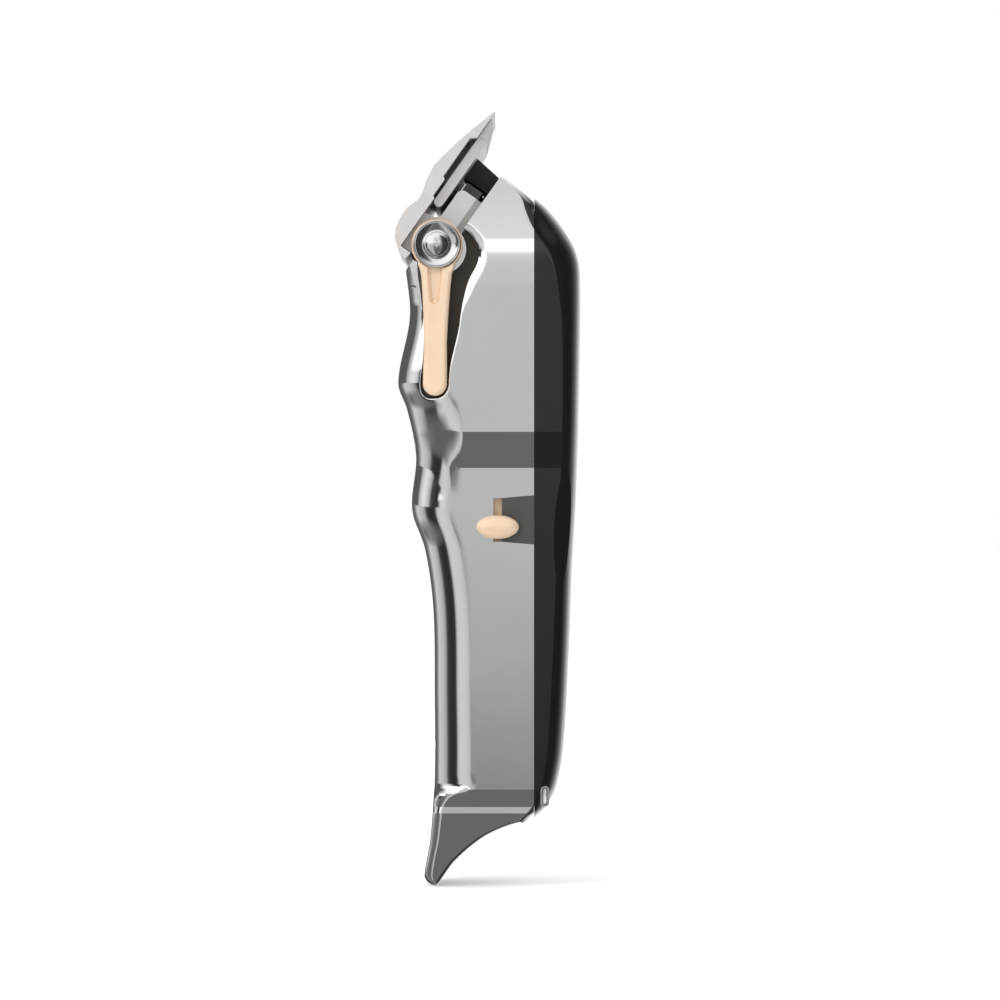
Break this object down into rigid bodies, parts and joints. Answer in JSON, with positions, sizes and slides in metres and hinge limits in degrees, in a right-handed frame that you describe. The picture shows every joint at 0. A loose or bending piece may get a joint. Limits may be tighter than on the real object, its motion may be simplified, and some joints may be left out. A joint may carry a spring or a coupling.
{
  "type": "cordless hair clipper",
  "caption": "Cordless hair clipper with a mirror metal grip, gloss lid, toothed blade pair, taper lever and power slide.",
  "frame": {"origin": "centre of the charging socket's mouth in the tail, on the mid plane", "axes": "+Z along the handle to the blade, +X out of the lid, -Y the side with the taper lever and power slide"},
  "size_m": [0.0383, 0.0479, 0.1601],
  "materials": {
    "mirror_metal": "mirror-bright plated metal",
    "gloss_black": "piano-black lacquer",
    "bright_trim": "turned and polished",
    "clear_lens": "clear light pipe",
    "satin_cast": "fine satin casting",
    "screw_steel": "turned steel",
    "blade_steel": "ground and satin finished",
    "black_polymer": "moulded, fine texture",
    "grey_polymer": "moulded, fine texture",
    "liner_polymer": "moulded, dark brown",
    "spring_steel": "drawn wire",
    "champagne": "satin champagne anodised",
    "bronze": "sintered",
    "dark_plate": "moulded, satin",
    "plated_steel": "zinc plated",
    "magnet": "ferrite",
    "white_polymer": "moulded",
    "brass_contact": "bright",
    "armature": "laminations and copper winding",
    "cell_wrap": "shrink wrap",
    "board_green": "solder mask"
  },
  "bodies": {
    "handle": {"lower_housing": "mirror_metal", "top_lid": "gloss_black", "indicator_bezel": "bright_trim", "indicator_lens": "clear_lens", "blade_bracket": "satin_cast", "bracket_screws": "screw_steel", "fixed_blade": "blade_steel", "blade_screws": "screw_steel", "pocket_liner": "liner_polymer", "pivot_bush": "bronze", "switch_plate": "dark_plate", "switch_body": "black_polymer", "motor_can": "plated_steel", "motor_bush": "bronze", "motor_magnets": "magnet", "motor_end_cap": "white_polymer", "motor_terminals": "brass_contact", "motor_mount": "black_polymer", "motor_screws": "screw_steel", "battery_cell": "cell_wrap", "battery_terminals": "plated_steel", "battery_cradle": "black_polymer", "circuit_board": "board_green", "board_parts": "grey_polymer", "board_screws": "screw_steel", "charge_socket": "black_polymer", "charge_pin": "brass_contact", "housing_screws": "screw_steel"},
    "lever": {"taper_lever": "champagne", "eccentric_disc": "bright_trim", "cam_shaft": "screw_steel", "cup_washer": "bright_trim", "lever_screw": "bright_trim"},
    "carrier": {"cutter_carrier": "grey_polymer", "tension_spring": "spring_steel"},
    "cutter": {"cutter_blade": "blade_steel", "cam_follower": "black_polymer", "follower_screws": "screw_steel"},
    "rotor": {"motor_shaft": "screw_steel", "motor_armature": "armature", "eccentric_crank": "bronze", "crank_pin": "screw_steel"},
    "slider": {"switch_slider": "champagne", "switch_knob": "champagne"}
  },
  "joints": [
    {"name": "taper_lever_swing", "type": "hinge", "parent": "handle", "child": "lever", "pos_m": [-0.01505, 0, 0.11885], "axis": [0, 1, 0], "range_deg": [0, 35]},
    {"name": "carrier_slide", "type": "slide", "parent": "handle", "child": "carrier", "axis": [-0.5779, 0, -0.8161], "range_m": [0, 0.00133]},
    {"name": "cutter_stroke", "type": "slide", "parent": "carrier", "child": "cutter", "axis": [0, 1, 0], "range_m": [-0.0012, 0.0012]},
    {"name": "motor_spin", "type": "hinge", "parent": "handle", "child": "rotor", "pos_m": [-0.0015, 0, 0.106], "axis": [0, 0, 1], "continuous": true},
    {"name": "power_slide", "type": "slide", "parent": "handle", "child": "slider", "axis": [0, 0, 1], "range_m": [0, 0.0035]}
  ],
  "couplings": [
    {"joint": "carrier_slide", "follows": "taper_lever_swing", "m_per_rad": 0.0021659}
  ]
}
